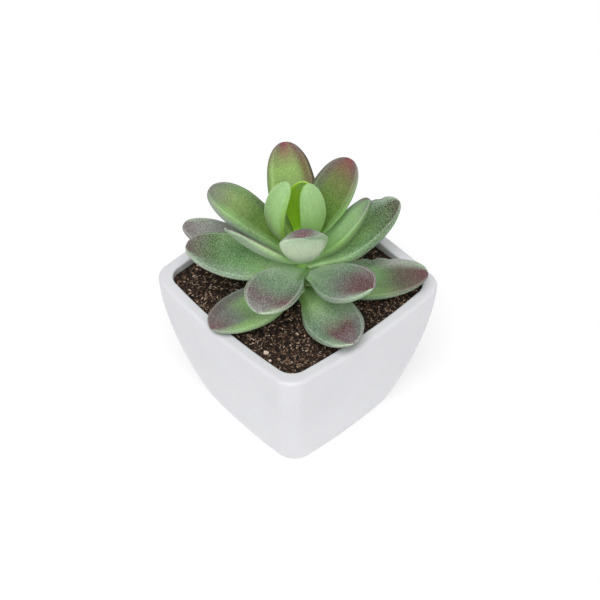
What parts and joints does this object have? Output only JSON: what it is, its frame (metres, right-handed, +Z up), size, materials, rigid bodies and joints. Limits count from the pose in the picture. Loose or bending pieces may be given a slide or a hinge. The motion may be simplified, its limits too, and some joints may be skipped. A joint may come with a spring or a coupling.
{
  "type": "potted succulent",
  "caption": "Rosette succulent with thick frosted green leaves tipped in maroon, growing in dark soil in a square flared white pot.",
  "frame": {"origin": "centre of the pot's flat underside", "axes": "+Z up the plant, +X and +Y square to the pot's sides; the corner between +X and -Y is the one nearest the viewer in the reference view"},
  "size_m": [0.0804, 0.0792, 0.107],
  "materials": {
    "pot": "smooth white plastic or glazed ware with a soft sheen",
    "soil": "loose dark brown potting mix of fibres, bark chips and crumbs",
    "stem": "matte green plant stem",
    "leaf": "matte frosted green leaf with maroon and grey-purple tip",
    "bud": "matte light yellow-green young leaf"
  },
  "bodies": {
    "root": {"pot": "pot", "soil": "soil", "stem": "stem", "outer_leaf_1": "leaf", "outer_leaf_2": "leaf", "outer_leaf_3": "leaf", "outer_leaf_4": "leaf", "outer_leaf_5": "leaf", "middle_leaf_1": "leaf", "middle_leaf_2": "leaf", "middle_leaf_3": "leaf", "middle_leaf_4": "leaf", "middle_leaf_5": "leaf", "inner_leaf_1": "leaf", "inner_leaf_2": "leaf", "inner_leaf_3": "leaf", "inner_leaf_4": "leaf", "inner_leaf_5": "leaf", "inner_leaf_6": "leaf", "bud_leaf_1": "bud", "bud_leaf_2": "bud", "bud_leaf_3": "bud"}
  },
  "joints": []
}
